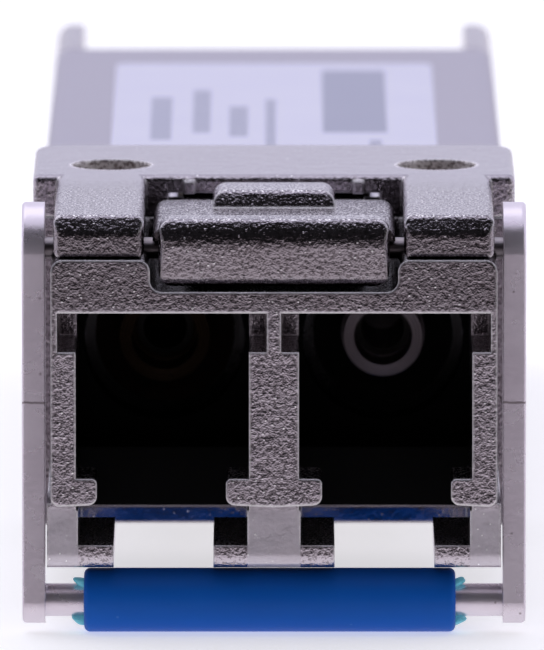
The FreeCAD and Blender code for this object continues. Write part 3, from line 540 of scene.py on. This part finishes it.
def dress_nodes():
    dress(cast_nickel(), "base_housing", "latch_housing", "latch_lever")
    dress(smooth_nickel("cover_nickel", (0.50, 0.48, 0.55), (0.45, 0.43, 0.50), 0.010, 0.30, 0.42),
          "top_cover")
    dress(smooth_nickel("bail_nickel", (0.92, 0.85, 0.92), (0.80, 0.73, 0.80), 0.004, 0.22, 0.32,
                        mark_z=4.72, metal=0.76), "bail_frame")
    dress(smooth_nickel("pin_steel", (0.42, 0.39, 0.41), (0.26, 0.23, 0.24), 0.006, 0.28, 0.40),
          "cam_pin", "lever_pin")
    dress(smooth_nickel("screw_steel", (0.72, 0.68, 0.66), (0.55, 0.50, 0.48), 0.012, 0.22, 0.38),
          "housing_screws")
    dress(smooth_nickel("spring_steel", (0.66, 0.66, 0.66), (0.5, 0.5, 0.5)), "lever_spring")
    dress(smooth_nickel("collar_sheet", (0.80, 0.77, 0.80), (0.70, 0.67, 0.70), 0.004, 0.18, 0.30),
          "emi_collar")
    dress(smooth_nickel("can_plate", (0.74, 0.66, 0.48), (0.62, 0.54, 0.38)), "tosa_body", "rosa_body")
    dress(smooth_nickel("bracket_steel", (0.60, 0.60, 0.62), (0.48, 0.48, 0.50)), "osa_retainer")
    dress(turned_metal("barrel_steel", PORT_X, (0.31, 0.28, 0.29), (0.006, 0.006, 0.006), 1.17),
          "tosa_barrel")
    # The brass colour is darkened far below real brass, as painted shade deep in the port.
    dress(turned_metal("barrel_brass", -PORT_X, (0.026, 0.017, 0.010), (0.009, 0.006, 0.005), 1.32),
          "rosa_barrel")
    dress(blue_plastic(), "bail_sleeve")
    dress(label_stock(), "label")
    dress(moulded("black_insert", (0.003, 0.003, 0.003), (0.0015, 0.0015, 0.0015), 0.6, shine=0.06),
          "lc_receptacle")
    dress(moulded("chip_epoxy", (0.035, 0.035, 0.037), (0.018, 0.018, 0.019), 0.5, 0.07),
          "laser_driver_chip", "amplifier_chip", "controller_chip")
    dress(moulded("gap_pad", (0.45, 0.52, 0.60), (0.36, 0.42, 0.50), 0.6), "thermal_pad")
    # Both sleeve colours are darkened far below real zirconia, as painted shade deep in the ports.
    dress(ceramic("sleeve_zirconia", (0.05, 0.043, 0.035)), "tosa_sleeve")
    dress(ceramic("sleeve_dark", (0.010, 0.006, 0.003)), "rosa_sleeve")
    dress(board_mask(), "pcb")
    dress(gold(), "edge_contacts")
    dress(flex_film(), "tosa_flex", "rosa_flex")
    dress(chip_components(), "smd_passives")


# --- pieces added to the frame -----------------------------------------------------------
def smooth_object(name, mesh, material):
    """Turn a finished bmesh into a smooth-shaded object with one material."""
    data = bpy.data.meshes.new(name)
    mesh.to_mesh(data)
    mesh.free()
    data.materials.append(bpy.data.materials[material])
    for polygon in data.polygons:
        polygon.use_smooth = True
    made = bpy.data.objects.new(name, data)
    bpy.context.scene.collection.objects.link(made)
    return made


def flash_blob(name, centre, radii, lean):
    """A small irregular lip of moulding flash beside the grip's end."""
    mesh = bmesh.new()
    bmesh.ops.create_icosphere(mesh, subdivisions=3, radius=1.0)
    for vertex in mesh.verts:
        wave = 1 + 0.06 * math.sin(4 * vertex.co.x + 2 * lean)
        wave += 0.05 * math.sin(5 * vertex.co.z + lean)
        vertex.co = Vector(vertex.co[i] * radii[i] * wave for i in range(3))
        vertex.co.x += lean * 0.12 * MM * (vertex.co.z / radii[2])
    blob = smooth_object(name, mesh, "teal_flash")
    blob.location = centre
    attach(blob, "bail")


def moulding_flash():
    """Flash at both ends of the grip, above and below the crossbar."""
    teal_flash()
    y = (SLEEVE_LOW[1] + SLEEVE_HIGH[1]) / 2
    z = (SLEEVE_LOW[2] + SLEEVE_HIGH[2]) / 2
    ends = (("left", SLEEVE_LOW[0], -1), ("right", SLEEVE_HIGH[0], 1))
    for side, x, sign in ends:
        for place, height, width in (("upper", 0.52, 0.20), ("lower", -0.56, 0.24)):
            centre = Vector((x + sign * 0.06 * MM, y - 0.12 * MM, z + height * MM))
            flash_blob(f"grip_flash_{side}_{place}", centre, (width * MM, 0.26 * MM, 0.15 * MM), sign)


def spring_coil():
    """The lever's return spring, as a coil of wire in the place of the CAD spring."""
    turns = 4.5
    steps = 120
    sides = 10
    wire_radius = 0.125 * MM
    coil_radius = (SPRING_HIGH[0] - SPRING_LOW[0]) / 2 - wire_radius
    middle = Vector((SPRING_LOW[i] + SPRING_HIGH[i]) / 2 for i in range(3))
    rise = SPRING_HIGH[2] - SPRING_LOW[2] - 2 * wire_radius
    mesh = bmesh.new()
    rings = []
    for step in range(steps + 1):
        turn = 2 * math.pi * turns * step / steps
        outward = Vector((math.cos(turn), math.sin(turn), 0))
        centre = middle + outward * coil_radius + Vector((0, 0, rise * (step / steps - 0.5)))
        ring = []
        for side in range(sides):
            angle = 2 * math.pi * side / sides
            offset = outward * math.cos(angle) + Vector((0, 0, math.sin(angle)))
            ring.append(mesh.verts.new(centre + offset * wire_radius))
        rings.append(ring)
    for lower, upper in zip(rings, rings[1:]):
        for side in range(sides):
            after = (side + 1) % sides
            mesh.faces.new((lower[side], lower[after], upper[after], upper[side]))
    mesh.faces.new(rings[0])
    mesh.faces.new(rings[-1])
    bmesh.ops.recalc_face_normals(mesh, faces=mesh.faces)
    coil = smooth_object("spring_coil", mesh, "spring_steel")
    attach(coil, "module")
    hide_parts("lever_spring")
    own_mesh(coil)


# --- stage, light and camera -------------------------------------------------------------
def floor():
    """Plain pale floor just under the bail.  It stays out of mirror reflections."""
    half = 3.0
    clearance = 0.02 * MM
    z = SLEEVE_LOW[2] - clearance
    corners = [(-half, -half, z), (half, -half, z), (half, half, z), (-half, half, z)]
    data = bpy.data.meshes.new("floor")
    data.from_pydata(corners, [], [(0, 1, 2, 3)])
    plane = bpy.data.objects.new("floor", data)
    made, g, shader = new_material("pale_floor")
    tone = g.blend(g.noise(40.0), (0.90, 0.90, 0.90), (0.93, 0.93, 0.93))
    set_inputs(g, shader, Base_Color=tone, Roughness=0.9)
    shader.inputs["Emission Color"].default_value = (1, 1, 1, 1)
    shader.inputs["Emission Strength"].default_value = 0.5
    data.materials.append(made)
    bpy.context.scene.collection.objects.link(plane)
    plane.visible_glossy = False


def studio_world():
    """White surroundings whose reflection has a dark flag in front, as a mirror-like metal needs."""
    world = bpy.data.worlds.new("studio")
    world.use_nodes = True
    bpy.context.scene.world = world
    g = Graph(world.node_tree)
    background = world.node_tree.nodes["Background"]
    coords = g.node("ShaderNodeTexCoord")
    parts = g.node("ShaderNodeSeparateXYZ")
    g.feed(parts.inputs[0], coords.outputs["Generated"])
    elevation = g.maths("MULTIPLY", g.maths("ARCSINE", parts.outputs["Z"]), 180 / math.pi)
    place = g.maths("DIVIDE", g.maths("ADD", elevation, 90.0), 180.0)
    front = g.ramp(place, [
        (0.00, (0.82, 0.79, 0.85)), (0.34, (0.76, 0.72, 0.78)), (0.41, (0.42, 0.38, 0.42)),
        (0.455, (0.26, 0.235, 0.26)), (0.485, (0.08, 0.07, 0.08)), (0.53, (0.014, 0.013, 0.015)),
        (0.80, (0.014, 0.013, 0.015)), (0.86, (0.70, 0.69, 0.82)),
    ])
    around = g.ramp(place, [
        (0.00, (0.80, 0.78, 0.84)), (0.46, (0.70, 0.67, 0.74)), (0.52, (0.78, 0.76, 0.92)),
        (1.00, (0.84, 0.83, 1.0)),
    ])
    facing = g.span(g.maths("MULTIPLY", parts.outputs["Y"], -1.0), 0.0, 0.45)
    not_overhead = g.below(parts.outputs["Z"], 0.90, 0.97)
    colour = g.blend(g.maths("MULTIPLY", facing, not_overhead), around, front)
    seen = g.node("ShaderNodeLightPath").outputs["Is Camera Ray"]
    g.feed(background.inputs["Color"], g.blend(seen, colour, (1.0, 1.0, 1.0)))


def soft_light(name, place, target, size, power):
    """Large square softbox."""
    data = bpy.data.lights.new(name, "AREA")
    data.shape = "SQUARE"
    data.size = size
    data.energy = power
    lamp = bpy.data.objects.new(name, data)
    lamp.location = place
    lamp.rotation_euler = (Vector(target) - Vector(place)).to_track_quat("-Z", "Y").to_euler()
    bpy.context.scene.collection.objects.link(lamp)


def lights():
    target = (0.0, 0.0, PORT_AXIS_Z)
    soft_light("top_softbox", (-0.10, 0.12, 0.35), target, 0.30, 0.15)
    soft_light("side_softbox", (0.35, -0.20, 0.12), target, 0.20, 0.05)


def camera():
    """Half a metre in front and a little above, on a long lens focused on the bezel."""
    pixels_per_slope = 18060.0
    frame_height = 650.0
    slope_down = 0.14135
    distance = 500.0 * MM
    height = 77.7 * MM
    data = bpy.data.cameras.new("camera")
    data.sensor_width = 36.0
    data.lens = pixels_per_slope * data.sensor_width / frame_height
    data.clip_start = 0.01
    data.clip_end = 20.0
    made = bpy.data.objects.new("camera", data)
    made.location = (0.0, FRONT_Y - distance, height)
    slope_left = 0.00011
    aim = Vector((-slope_left, 1.0, -slope_down))
    made.rotation_euler = aim.to_track_quat("-Z", "Y").to_euler()
    focus = bpy.data.objects.new("focus", None)
    focus.location = (0.0, FRONT_Y + 1.0 * MM, PARTING_Z / 2)
    bpy.context.scene.collection.objects.link(focus)
    bpy.context.scene.collection.objects.link(made)
    data.dof.use_dof = True
    data.dof.focus_object = focus
    aperture_width = 3.7
    data.dof.aperture_fstop = data.lens / aperture_width
    bpy.context.scene.camera = made


dress_nodes()
moulding_flash()
spring_coil()
floor()
studio_world()
lights()
camera()
bpy.context.scene.view_settings.view_transform = "Standard"
